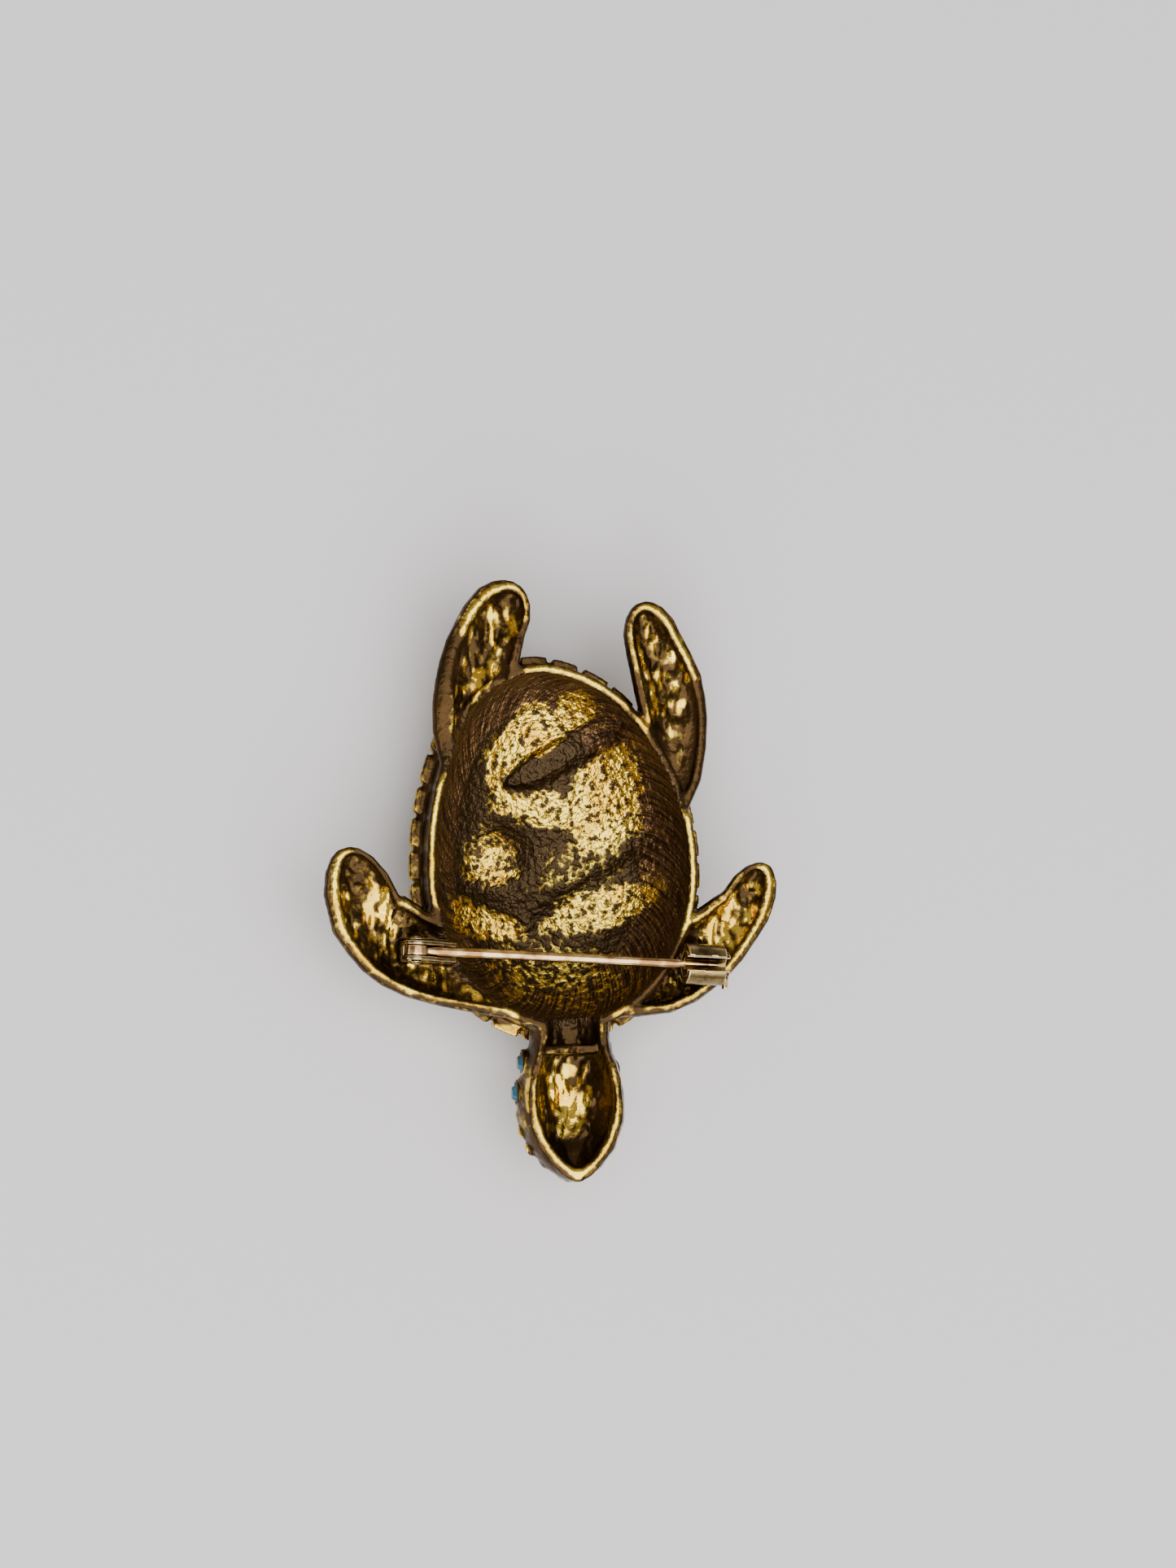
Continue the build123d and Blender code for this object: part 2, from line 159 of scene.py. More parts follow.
def new_material(name):
    material = bpy.data.materials.new(name)
    material.use_nodes = True
    tree = material.node_tree
    tree.nodes.clear()
    shader = add_node(tree, "ShaderNodeBsdfPrincipled")
    add_node(tree, "ShaderNodeOutputMaterial", inputs={"Surface": shader.outputs["BSDF"]})
    return material, tree, shader


def worked_out(tree, operation, a, b=0.0):
    return add_node(tree, "ShaderNodeMath", {"operation": operation}, {0: a, 1: b}).outputs["Value"]


def blend_of(tree, share, a, b):
    made = add_node(tree, "ShaderNodeMix", {"data_type": "RGBA"},
                    {"Factor_Float": share, "A_Color": a, "B_Color": b})
    return next(s for s in made.outputs if s.identifier == "Result_Color")


def ranged(tree, value, low, high, to_low=0.0, to_high=1.0):
    """to_low up to low, to_high from high on, and an even S curve between them."""
    return add_node(tree, "ShaderNodeMapRange", {"interpolation_type": "SMOOTHSTEP"},
                    {"Value": value, "From Min": low, "From Max": high,
                     "To Min": to_low, "To Max": to_high}).outputs["Result"]


def grain(tree, where, size_mm, detail=2.0):
    """Noise whose grains are about the given size."""
    return add_node(tree, "ShaderNodeTexNoise", {"noise_dimensions": "3D"},
                    {"Vector": where, "Scale": 0.5 / (size_mm * MM), "Detail": detail}).outputs["Fac"]


def stretched(tree, where, scale):
    """The place that a texture is read at, in times per unit along each axis."""
    return add_node(tree, "ShaderNodeMapping", inputs={"Vector": where, "Scale": scale}).outputs["Vector"]


def attribute(tree, name, output="Fac"):
    return add_node(tree, "ShaderNodeAttribute", {"attribute_name": name}).outputs[output]


def roughened(tree, shader, height, strength, depth_mm):
    bump = add_node(tree, "ShaderNodeBump",
                    inputs={"Height": height, "Strength": strength, "Distance": depth_mm * MM})
    tree.links.new(bump.outputs["Normal"], shader.inputs["Normal"])


def antique_gold_casting():
    # Gold plated cast white metal: sand-rough and brushed inside, with brown tarnish in its pits and on its
    # walls.
    # Bare bright gold on the rims' tops and in patches of the hollows is partly wear and partly a painted
    # highlight, and the brown beside and under the rims and in the floor's fold is painted shade.
    material, tree, shader = new_material("antique_gold_casting")
    where = add_node(tree, "ShaderNodeTexCoord").outputs["Object"]
    bare_and_lit = attribute(tree, "bare_and_lit")
    sandy = attribute(tree, "sandy")
    brushed = attribute(tree, "brushed")
    wall_way = attribute(tree, "wall_way", "Vector")
    sand = worked_out(tree, "SUBTRACT", grain(tree, where, sand_grain), 0.5)
    blotch = grain(tree, where, tarnish_blotch)
    strokes = add_node(tree, "ShaderNodeTexNoise", inputs={
        "Vector": stretched(tree, wall_way, brush_scale), "Scale": 1.0, "Detail": 1.0}).outputs["Fac"]
    marks = worked_out(tree, "MULTIPLY", worked_out(tree, "SUBTRACT", strokes, 0.5), brushed)
    # Tarnish fills the pits of bare ground, and grains show less where all is brown
    pitted = worked_out(tree, "MULTIPLY", sandy, bare_and_lit)
    depth = worked_out(tree, "ADD", worked_out(tree, "MULTIPLY", pitted, 4.0), 0.7)
    level = worked_out(tree, "MULTIPLY", sand, depth)
    level = worked_out(tree, "ADD", level, worked_out(tree, "MULTIPLY", bare_and_lit, 0.76))
    level = worked_out(tree, "ADD", level, worked_out(tree, "MULTIPLY", marks, 1.1))
    clean_and_lit = ranged(tree, level, 0.15, 0.75)
    gold = blend_of(tree, ranged(tree, blotch, 0.35, 0.65), linear("#dcae38"), linear("#f2d254"))
    wall_tarnish = blend_of(tree, ranged(tree, strokes, 0.36, 0.64), linear("#3b291a"), linear("#6a4f34"))
    limb_tarnish = blend_of(tree, ranged(tree, blotch, 0.36, 0.64), linear("#33240f"), linear("#432f16"))
    tarnish = blend_of(tree, sandy, limb_tarnish, linear("#392b19"))
    tarnish = blend_of(tree, brushed, tarnish, wall_tarnish)
    tree.links.new(blend_of(tree, clean_and_lit, tarnish, gold), shader.inputs["Base Color"])
    tree.links.new(ranged(tree, clean_and_lit, 0.0, 0.5, 0.9, 1.0), shader.inputs["Metallic"])
    dull = worked_out(tree, "ADD", worked_out(tree, "MULTIPLY", sandy, 0.12), 0.12)
    tree.links.new(worked_out(tree, "ADD", dull, ranged(tree, clean_and_lit, 0.0, 1.0, 0.16, 0.0)),
                   shader.inputs["Roughness"])
    relief = worked_out(tree, "MULTIPLY", sand, worked_out(tree, "ADD", sandy, 0.25))
    relief = worked_out(tree, "ADD", relief, worked_out(tree, "MULTIPLY", marks, 0.6))
    roughened(tree, shader, relief, 1.0, grain_depth)
    return material


def drawn_wire(name, dull_tone, bright_tone, edge_tone, rough):
    # Plated wire and stamped sheet: smooth from drawing, the plating worn to a duller tone in blotches, and
    # edges rubbed bright, their bright tone partly a painted highlight.
    material, tree, shader = new_material(name)
    where = add_node(tree, "ShaderNodeTexCoord").outputs["Object"]
    scratches = grain(tree, where, 0.25, 2.0)
    wear = grain(tree, where, 1.0, 3.0)
    tone = blend_of(tree, ranged(tree, wear, 0.38, 0.62), linear(dull_tone), linear(bright_tone))
    tone = blend_of(tree, attribute(tree, "worn_and_lit_edge"), tone, linear(edge_tone))
    tree.links.new(tone, shader.inputs["Base Color"])
    shader.inputs["Metallic"].default_value = 1.0
    tree.links.new(ranged(tree, wear, 0.3, 0.7, rough, 0.6 * rough), shader.inputs["Roughness"])
    roughened(tree, shader, scratches, 0.25, 0.05)
    return material


def teal_cut_glass():
    # Cut and polished coloured glass, darkened by the cup behind it: deep teal with bright facets.
    material, tree, shader = new_material("teal_cut_glass")
    where = add_node(tree, "ShaderNodeTexCoord").outputs["Object"]
    depth = grain(tree, where, 0.8, 1.0)
    tree.links.new(blend_of(tree, ranged(tree, depth, 0.35, 0.65), linear("#0e3442"), linear("#1c5468")),
                   shader.inputs["Base Color"])
    shader.inputs["Roughness"].default_value = 0.05
    shader.inputs["IOR"].default_value = 1.58
    return material


def matte_board():
    # Plain matte board under the brooch
    material, tree, shader = new_material("matte_board")
    shader.inputs["Base Color"].default_value = linear("#d2d0d2")
    shader.inputs["Roughness"].default_value = 0.9
    return material


casting_metal = antique_gold_casting()
# The pin is polished and warm from handling, and the hinge and the catch are painted darker as shade, besides
# their own duller tone
wire_metal = drawn_wire("drawn_gold_wire", "#9a7448", "#ecca92", "#f0d4a2", 0.2)
findings_metal = drawn_wire("shaded_findings", "#45371f", "#8c774c", "#ecd6a6", 0.28)
teal_glass = teal_cut_glass()


# Meshes

def in_millimetres(name):
    """A merged copy of a CAD node's mesh, in millimetres."""
    work = bmesh.new()
    work.from_mesh(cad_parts[name].data)
    bmesh.ops.scale(work, vec=(1 / MM,) * 3, verts=work.verts)
    bmesh.ops.remove_doubles(work, verts=work.verts, dist=0.0005)
    return work


def as_mesh(work, name):
    mesh = bpy.data.meshes.new(name)
    work.to_mesh(mesh)
    work.free()
    return mesh


def cut_at(work, height, keep_above):
    """Keeps what is above or below a level and closes the cut."""
    cut = bmesh.ops.bisect_plane(work, geom=work.verts[:] + work.edges[:] + work.faces[:], dist=1e-5,
                                 plane_co=(0, 0, height), plane_no=(0, 0, 1),
                                 clear_inner=keep_above, clear_outer=not keep_above)
    open_edges = [e for e in cut["geom_cut"] if isinstance(e, bmesh.types.BMEdge) and e.is_boundary]
    bmesh.ops.edgeloop_fill(work, edges=open_edges)


def evaluated(mesh, add_modifiers):
    """The mesh with the modifiers that the function adds to it."""
    holder = bpy.data.objects.new("holder", mesh)
    bpy.context.scene.collection.objects.link(holder)
    add_modifiers(holder)
    result = bpy.data.meshes.new_from_object(holder.evaluated_get(bpy.context.evaluated_depsgraph_get()))
    bpy.data.objects.remove(holder)
    return result


def remeshed(mesh, step):
    """One closed skin of even quads round everything in the mesh."""
    def add_remesh(holder):
        even = holder.modifiers.new("even", "REMESH")
        even.mode = "VOXEL"
        even.voxel_size = step
    return evaluated(mesh, add_remesh)


def thinned(mesh, triangles):
    """The mesh with fewer faces where it is smooth."""
    def add_decimate(holder):
        fewer = holder.modifiers.new("fewer", "DECIMATE")
        fewer.ratio = min(1.0, triangles / (2 * len(mesh.polygons)))
    return evaluated(mesh, add_decimate)


def finished(name, mesh, body, material, nodes=()):
    """The mesh, until now in millimetres, as a smooth-shaded piece of the brooch."""
    mesh.transform(Matrix.Scale(MM, 4))
    mesh.materials.clear()
    mesh.materials.append(material)
    mesh.polygons.foreach_set("use_smooth", [True] * len(mesh.polygons))
    piece = bpy.data.objects.new(name, mesh)
    bpy.context.scene.collection.objects.link(piece)
    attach(piece, body)
    if nodes:
        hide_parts(*nodes)
    return piece


class Surface:
    """A mesh's points with their neighbours, to be moved with numpy."""

    def __init__(self, mesh):
        self.mesh = mesh
        count = len(mesh.vertices)
        points = np.empty(count * 3)
        mesh.vertices.foreach_get("co", points)
        self.points = points.reshape(-1, 3)
        edges = np.empty(len(mesh.edges) * 2, dtype=np.int64)
        mesh.edges.foreach_get("vertices", edges)
        self.ends = edges.reshape(-1, 2).T
        self.neighbours = np.bincount(edges, minlength=count)

    def store(self):
        self.mesh.vertices.foreach_set("co", self.points.ravel())
        self.mesh.update()
        return self.mesh

    def normals(self):
        self.store()
        normals = np.empty(self.points.size)
        self.mesh.vertex_normals.foreach_get("vector", normals)
        return normals.reshape(-1, 3)

    def average(self, values):
        """Each point's mean of its neighbours' values."""
        a, b = self.ends
        count = len(self.points)
        if values.ndim == 1:
            total = np.bincount(a, values[b], count) + np.bincount(b, values[a], count)
            return total / self.neighbours
        return np.stack([self.average(column) for column in values.T], axis=1)

    def relax(self, rounds, weight=1.0, push=-0.53):
        """Smooths the surface: each round pulls in, and then pushes back out unless push is 0."""
        weight = np.broadcast_to(weight, (len(self.points),))[:, None]
        for _ in range(rounds):
            for step in (0.5, push):
                self.points = self.points + step * weight * (self.average(self.points) - self.points)

    def blurred(self, values, rounds):
        values = values.astype(float)
        for _ in range(rounds):
            values = (values + self.average(values)) / 2
        return values

    def height_over(self, level, normals):
        """How far each point stands out, along its normal, from its place on a smoother level."""
        return np.einsum("ij,ij->i", self.points - level, normals)

    def keep(self, name, values):
        """Stores values as an attribute that a material reads."""
        kind, field = ("FLOAT", "value")
        if values.ndim > 1:
            kind, field = ("FLOAT_VECTOR", "vector")
        layer = self.mesh.attributes.new(name, kind, "POINT")
        layer.data.foreach_set(field, np.ascontiguousarray(values, dtype=np.float32).ravel())


# Shapes in plan that the casting's surface follows

def smooth(low, high, value):
    """0 up to low, 1 from high on, and an even S curve between them."""
    t = np.clip((value - low) / (high - low), 0, 1)
    return t * t * (3 - 2 * t)


def shell_length(direction):
    """The shell's length from its widest line, towards the tail or, for a negative value, the head."""
    return shell_tail_length if direction > 0 else shell_head_length


def egg_point(angle, share):
    """The point at an angle on the egg outline of the shell, or on one that is a share of its size."""
    rise = math.sin(math.radians(angle))
    across = math.cos(math.radians(angle))
    return (share * shell_half_width * across + share * tail_sway * max(rise, 0) ** 2,
            widest_line_y + share * shell_length(rise) * rise)


def shell_point(across, along):
    """The point at shares of the shell's half width and of its length from the widest line."""
    return (across * shell_half_width + tail_sway * max(along, 0) ** 2,
            widest_line_y + along * shell_length(along))


def egg_share(x, y):
    """The size against the shell's of the egg outline through each point, and the point's angle on it."""
    along = (y - widest_line_y) / np.where(y > widest_line_y, shell_tail_length, shell_head_length)
    share = np.ones_like(x)
    for _ in range(3):
        across = (x - tail_sway * np.maximum(along, 0) ** 2 / np.maximum(share, 0.2)) / shell_half_width
        share = np.hypot(across, along)
    return share, np.arctan2(along, across)


def from_line(x, y, start, end):
    """Distance of each point from a straight stretch in plan."""
    (ax, ay), (bx, by) = start, end
    share = ((x - ax) * (bx - ax) + (y - ay) * (by - ay)) / ((bx - ax) ** 2 + (by - ay) ** 2)
    share = np.clip(share, 0, 1)
    return np.hypot(x - ax - share * (bx - ax), y - ay - share * (by - ay))


def stripe(x, y, start, end, half_width, soft):
    """1 along a straight stretch and 0 away from it."""
    return 1 - smooth(half_width - soft, half_width + soft, from_line(x, y, start, end))


def oval(x, y, middle, radii, turn, soft):
    """1 inside an oval and 0 outside it, with an edge as soft as a share of its size."""
    c, s = math.cos(math.radians(turn)), math.sin(math.radians(turn))
    u = ((x - middle[0]) * c + (y - middle[1]) * s) / radii[0]
    v = ((y - middle[1]) * c - (x - middle[0]) * s) / radii[1]
    return 1 - smooth(1 - soft, 1 + soft, np.hypot(u, v))


def seam_lines():
    """The seams between the scutes of the shell, without the ring that the edge plates start at."""
    lines = [(shell_point(-scute_corner_share, along), shell_point(scute_corner_share, along))
             for along in spine_seam_shares]
    for before, after in zip(spine_seam_shares, spine_seam_shares[1:]):
        middle = (before + after) / 2
        across = ring_share * math.sqrt(1 - (middle / ring_share) ** 2)
        for side in (-1, 1):
            corner = shell_point(side * scute_middle_share, middle)
            lines.append((shell_point(side * scute_corner_share, before), corner))
            lines.append((corner, shell_point(side * scute_corner_share, after)))
            lines.append((corner, shell_point(side * across, middle)))
    angles = np.linspace(0, 360, 721)
    outline = [egg_point(angle, 1) for angle in angles]
    walked = np.concatenate([[0], np.cumsum([math.dist(a, b) for a, b in zip(outline, outline[1:])])])
    for k in range(edge_plate_count):
        angle = np.interp((k + 0.5) * walked[-1] / edge_plate_count, walked, angles)
        lines.append((egg_point(angle, ring_share), egg_point(angle, 1.05)))
    return lines


def from_seams(x, y):
    """Distance of each point from the nearest seam of the shell, in plan."""
    share, _ = egg_share(x, y)
    away = np.abs(share - ring_share) * shell_half_width
    for start, end in seam_lines():
        away = np.minimum(away, from_line(x, y, start, end))
    return away


def lumps(points, size, seed):
    """Smooth random bumps from -1 to 1, about one to each size, in the pattern that the seed picks."""
    table = np.random.default_rng(seed).uniform(-1, 1, 4096)
    scaled = points / size
    cell = np.floor(scaled).astype(np.int64)
    part = scaled - cell
    part = part * part * (3 - 2 * part)
    total = np.zeros(len(points))
    for corner in range(8):
        offset = np.array([corner & 1, corner >> 1 & 1, corner >> 2 & 1])
        at = cell + offset
        key = (at[:, 0] * 73856093 ^ at[:, 1] * 19349663 ^ at[:, 2] * 83492791) & 4095
        total += np.prod(np.where(offset, part, 1 - part), axis=1) * table[key]
    return total


# The worn rims and the uneven floors of the hollows, in plan

# Where the rims are lowered and rounded, and painted brown as shade for the highlight they lack: the outer
# sides of the rear flippers' roots, the ridges between hollows, and the neck. Each is a stretch in plan from
# start to end, half its width and how much lower it is.
lowered_shaded_rims = [((-11.3, 19.4), (-12.9, 13.5), 1.3, 0.4), ((-12.9, 13.5), (-13.5, 7.2), 1.5, 0.4),
             ((-4.6, 19.6), (-5.1, 16.2), 0.9, 0.0), ((-5.1, 16.2), (-12.4, 7.8), 1.3, 0.3),
             ((7.2, 16.3), (7.6, 13.5), 0.9, 0.0), ((14.2, 15.4), (14.7, 11.2), 1.1, 0.3),
             ((14.7, 11.2), (13.6, 4.2), 1.4, 0.4), ((9.5, 11.2), (12.8, 5.5), 0.8, 0.0),
             ((-3.6, -18.8), (-3.45, -22.9), 1.0, 0.2), ((4.1, -18.0), (4.6, -21.6), 1.0, 0.2),
             ((13.0, -10.0), (7.7, -16.2), 1.0, 0.0), ((-13.7, -7.7), (-12.3, -10.0), 1.0, 0.2),
             ((-4.0, -20.8), (-0.4, -20.8), 0.7, 0.2), ((2.0, -20.8), (4.4, -20.8), 0.7, 0.2),
             ((-3.7, -18.0), (-2.2, -18.8), 1.0, 0.1)]

# Where the hollows of the limbs get painted highlights, and where they get painted shade: each is an oval's
# middle, radii and turn
lit_in_limbs = [((-18.6, -7.1), (1.4, 1.9), 0), ((-6.5, 21.5), (1.8, 1.7), 0), ((-7.6, 15.5), (2.2, 2.0), 0),
                ((9.7, 20.0), (0.7, 1.3), 0), ((11.1, 18.4), (1.0, 0.9), 0), ((12.0, 14.7), (0.8, 1.7), 0),
                ((17.2, -8.0), (3.8, 2.2), 35), ((0.9, -26.0), (1.3, 3.0), 0)]
shaded_in_limbs = [((-21.0, -3.6), (1.9, 2.2), 0), ((-16.9, -13.7), (3.4, 1.4), -28),
                  ((-14.8, -8.2), (1.8, 1.2), 0), ((-5.3, 23.7), (1.4, 1.2), 0),
                  ((-8.6, 18.7), (1.5, 1.5), 0), ((9.2, 21.9), (1.3, 1.4), 0)]

# Where the floor of the body is rubbed clean and painted with highlights: how clean and lit, as a share, and
# an oval's middle, radii, turn and softness
rubbed_and_lit_floor = [(1.0, (6.0, 4.6), (5.4, 3.6), 80, 0.22), (1.0, (-0.2, 4.0), (5.2, 1.7), -6, 0.3),
               (0.72, (-5.7, -2.1), (2.6, 2.0), -8, 0.5), (0.4, (-5.2, 0.3), (2.8, 2.2), 0, 0.6),
               (1.0, (5.6, -6.3), (6.0, 2.1), 17, 0.25), (1.0, (-6.2, -7.9), (4.3, 1.8), -20, 0.3),
               (0.42, (1.0, -13.5), (7.5, 3.2), 0, 0.5), (0.34, (3.4, -1.8), (4.8, 2.2), 24, 0.6)]

# The fold towards the tail, how wide it is on its two sides and how deep, and the ridge and the bump of the
# floor
fold_start = (-4.9, 5.7)
fold_end = (5.9, 12.1)
fold_low_side = 2.2
fold_high_side = 1.5
fold_depth = 0.8
crease_points = [(10.6, -0.9), (5.1, -4.1), (-0.1, -7.6)]
crease_height = 0.55
bump_height = 1.0


def rim_drop_and_shade(x, y):
    """How much painted shade dulls the rims at each point, as a share, and how much lower they are."""
    dull = np.zeros_like(x)
    lowered = np.zeros_like(x)
    for start, end, half_width, lower in lowered_shaded_rims:
        worn = stripe(x, y, start, end, half_width, 0.4)
        dull = np.maximum(dull, worn)
        lowered = np.maximum(lowered, lower * worn)
    return dull, lowered


def in_any_oval(x, y, ovals):
    return np.max([oval(x, y, middle, radii, turn, 0.4) for middle, radii, turn in ovals], axis=0)


def limb_light(x, y):
    """How much painted highlight, or painted shade if negative, the hollows of the limbs get."""
    return 0.5 * in_any_oval(x, y, lit_in_limbs) - 0.55 * in_any_oval(x, y, shaded_in_limbs)


def fold(x, y):
    """The dark diagonal fold towards the tail: how deep it is at each point, as a share."""
    (ax, ay), (bx, by) = fold_start, fold_end
    length = math.hypot(bx - ax, by - ay)
    along = ((x - ax) * (bx - ax) + (y - ay) * (by - ay)) / length
    aside = ((y - ay) * (bx - ax) - (x - ax) * (by - ay)) / length
    opening = smooth(0, 4.5, along) * (1 - smooth(length, length + 1.5, along))
    wide = np.where(aside > 0, fold_high_side, fold_low_side) * np.maximum(opening, 0.05)
    return (1 - smooth(0.45, 1.1, np.abs(aside) / wide)) * smooth(0, 0.3, opening)


def crease(x, y):
    """The ridge across the floor: 1 on its line, falling off fast towards the tail and slowly to the head."""
    best = np.full_like(x, 99.0)
    ahead = np.zeros_like(x)
    for start, end in zip(crease_points, crease_points[1:]):
        away = from_line(x, y, start, end)
        side = (end[0] - start[0]) * (y - start[1]) - (end[1] - start[1]) * (x - start[0])
        nearer = away < best
        best = np.where(nearer, away, best)
        ahead = np.where(nearer, side, ahead)
    return np.where(ahead < 0, 1 - smooth(0, 1.7, best), 1 - smooth(0, 4.6, best))


def floor_relief(x, y):
    """How far the floor of the hollow stands above its smooth bowl."""
    bump = 1 - smooth(0.5, 3.8, np.hypot(x + 4.3, (y + 0.6) * 0.95))
    return (-fold_depth * fold(x, y) + bump_height * bump + crease_height * crease(x, y)
            + 0.35 * oval(x, y, (6.0, 4.4), (5.0, 3.2), 80, 0.8)
            + 0.35 * stripe(x, y, (-9.3, -6.0), (-3.2, -8.0), 0.9, 0.9)
            - 0.35 * oval(x, y, (1.2, -3.4), (2.6, 2.4), 0, 0.8)
            - 0.25 * stripe(x, y, (-8.0, -4.6), (-2.0, -4.6), 0.7, 0.7))


def floor_brightness(x, y):
    """Where the floor is rubbed clean and painted with highlights, with ragged edges: the parts that stick
    out or face the tail's end. The fold and the bump's right side get painted shade.
    """
    flat = np.stack([x, y, 0 * x], axis=1)
    x = x + 0.5 * lumps(flat, 2.4, 9) + 0.3 * lumps(flat, 0.8, 10)
    y = y + 0.5 * lumps(flat, 2.4, 11) + 0.3 * lumps(flat, 0.8, 12)
    # The painted highlight of the crescent towards the tail ends in a straight line, and joins the middle
    # patch beside the fold
    crescent = oval(x, y, (-1.1, 11.1), (5.9, 2.8), 34, 0.22) * (1 - smooth(0, 0.8, y + 0.3 * x - 15.4))
    clean_and_lit = np.maximum(crescent, stripe(x, y, (-5.6, 8.6), (-4.7, 5.2), 0.8, 0.5))
    for share, middle, radii, turn, soft in rubbed_and_lit_floor:
        clean_and_lit = np.maximum(clean_and_lit, share * oval(x, y, middle, radii, turn, soft))
    # Painted shade: the side of the bump that looks to the right is painted brown, and so is the fold
    bump_shade = oval(x, y, (-2.3, 0.3), (2.2, 3.6), 30, 0.3)
    bump_shade = bump_shade * (1 - oval(x, y, (-5.2, -1.2), (2.9, 2.6), 0, 0.2))
    return clean_and_lit * (1 - fold(x, y)) * (1 - bump_shade)


# The casting

def stone_place(name):
    """The middle of a stone's table and the way it faces, in millimetres."""
    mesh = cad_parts[name].data
    points = np.array([vertex.co[:] for vertex in mesh.vertices]) / MM
    middle = Vector((points.min(axis=0) + points.max(axis=0)) / 2)
    flats = {}
    for face in mesh.polygons:
        key = tuple(round(c, 1) for c in face.normal)
        area, total, way = flats.get(key, (0.0, Vector(), Vector()))
        flats[key] = (area + face.area, total + face.center * face.area, way + face.normal)
    # The table is the largest flat that looks straight out, away from the middle of the head
    head_middle = Vector((head_middle_x, middle.y, rim_z - 2))
    best = None
    for area, total, way in flats.values():
        way = way.normalized()
        centre = total / area / MM
        straight = abs((centre - middle).normalized().dot(way)) > 0.98
        if straight and (centre - head_middle).dot(way) > 0 and (best is None or area > best[0]):
            best = (area, centre, way)
    return best[1], best[2]


stone_places = {name: stone_place(name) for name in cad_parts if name.startswith("stone_")}


def pebble_tree():
    """Scatters flat round pebbles over a skin, one to each spacing."""
    tree = bpy.data.node_groups.new("pebbled_skin", "GeometryNodeTree")
    tree.interface.new_socket("Skin", in_out="INPUT", socket_type="NodeSocketGeometry")
    for name in ("Spacing", "Radius", "Height"):
        tree.interface.new_socket(name, in_out="INPUT", socket_type="NodeSocketFloat")
    tree.interface.new_socket("Pebbles", in_out="OUTPUT", socket_type="NodeSocketGeometry")
    given = add_node(tree, "NodeGroupInput")
    scatter = add_node(tree, "GeometryNodeDistributePointsOnFaces", {"distribute_method": "POISSON"},
                       {"Mesh": given.outputs["Skin"], "Distance Min": given.outputs["Spacing"],
                        "Density Max": 2.0, "Seed": pebble_seed})
    ball = add_node(tree, "GeometryNodeMeshIcoSphere", inputs={"Radius": 1.0, "Subdivisions": 3})
    size = add_node(tree, "FunctionNodeRandomValue", {"data_type": "FLOAT"},
                    {"Min_001": 0.8, "Max_001": 1.1, "Seed": pebble_seed})
    radius = worked_out(tree, "MULTIPLY", next(s for s in size.outputs if s.enabled), given.outputs["Radius"])
    flat = add_node(tree, "ShaderNodeCombineXYZ",
                    inputs={"X": radius, "Y": radius, "Z": given.outputs["Height"]})
    placed = add_node(tree, "GeometryNodeInstanceOnPoints", inputs={
        "Points": scatter.outputs["Points"], "Instance": ball.outputs["Mesh"],
        "Rotation": scatter.outputs["Rotation"], "Scale": flat.outputs["Vector"]})
    real = add_node(tree, "GeometryNodeRealizeInstances", inputs={"Geometry": placed.outputs["Instances"]})
    cast = add_node(tree, "GeometryNodeSetMaterial", inputs={
        "Geometry": real.outputs["Geometry"], "Material": casting_metal})
    add_node(tree, "NodeGroupOutput", inputs={"Pebbles": cast.outputs["Geometry"]})
    return tree


def pebbles(skin):
    """The pebbles that stand on a skin, as one mesh."""
    tree = pebble_tree()

    def add_tree(holder):
        scattered = holder.modifiers.new("pebbles", "NODES")
        scattered.node_group = tree
        sizes = {"Spacing": pebble_spacing, "Radius": pebble_radius, "Height": pebble_height}
        for item in tree.interface.items_tree:
            if item.in_out == "INPUT" and item.name in sizes:
                scattered[item.identifier] = sizes[item.name]
    return evaluated(skin, add_tree)


def front_skin(work):
    """The fronts of the flippers and the head, clear of the shell, the stones and the sides."""
    skin = work.copy()
    away = []
    for face in skin.faces:
        middle = face.calc_center_median()
        share, _ = egg_share(np.array([middle.x]), np.array([middle.y]))
        near_stone = any((middle - place).length < pebbles_from_stones for place, _ in stone_places.values())
        near_rim = middle.z > rim_z - pebbles_below_rim
        if face.normal.z > pebbles_facing or share[0] < pebbles_from_shell or near_rim or near_stone:
            away.append(face)
    bmesh.ops.delete(skin, geom=away, context="FACES")
    return as_mesh(skin, "front_skin")


def rim_edge_distance(work, points):
    """How far each point on the flat top of the rim is from the top's edge."""
    flat = {face for face in work.faces
            if face.normal.z > 0.99 and face.calc_center_median().z > rim_z - 0.02}
    samples = []
    for edge in work.edges:
        if sum(face in flat for face in edge.link_faces) != 1:
            continue
        a, b = (vertex.co for vertex in edge.verts)
        steps = max(1, math.ceil((a - b).length / rim_edge_step))
        samples.extend(a.lerp(b, k / steps) for k in range(steps))
    tree = KDTree(len(samples))
    for i, sample in enumerate(samples):
        tree.insert((sample.x, sample.y, 0), i)
    tree.balance()
    return np.array([tree.find((x, y, 0))[2] for x, y in points])


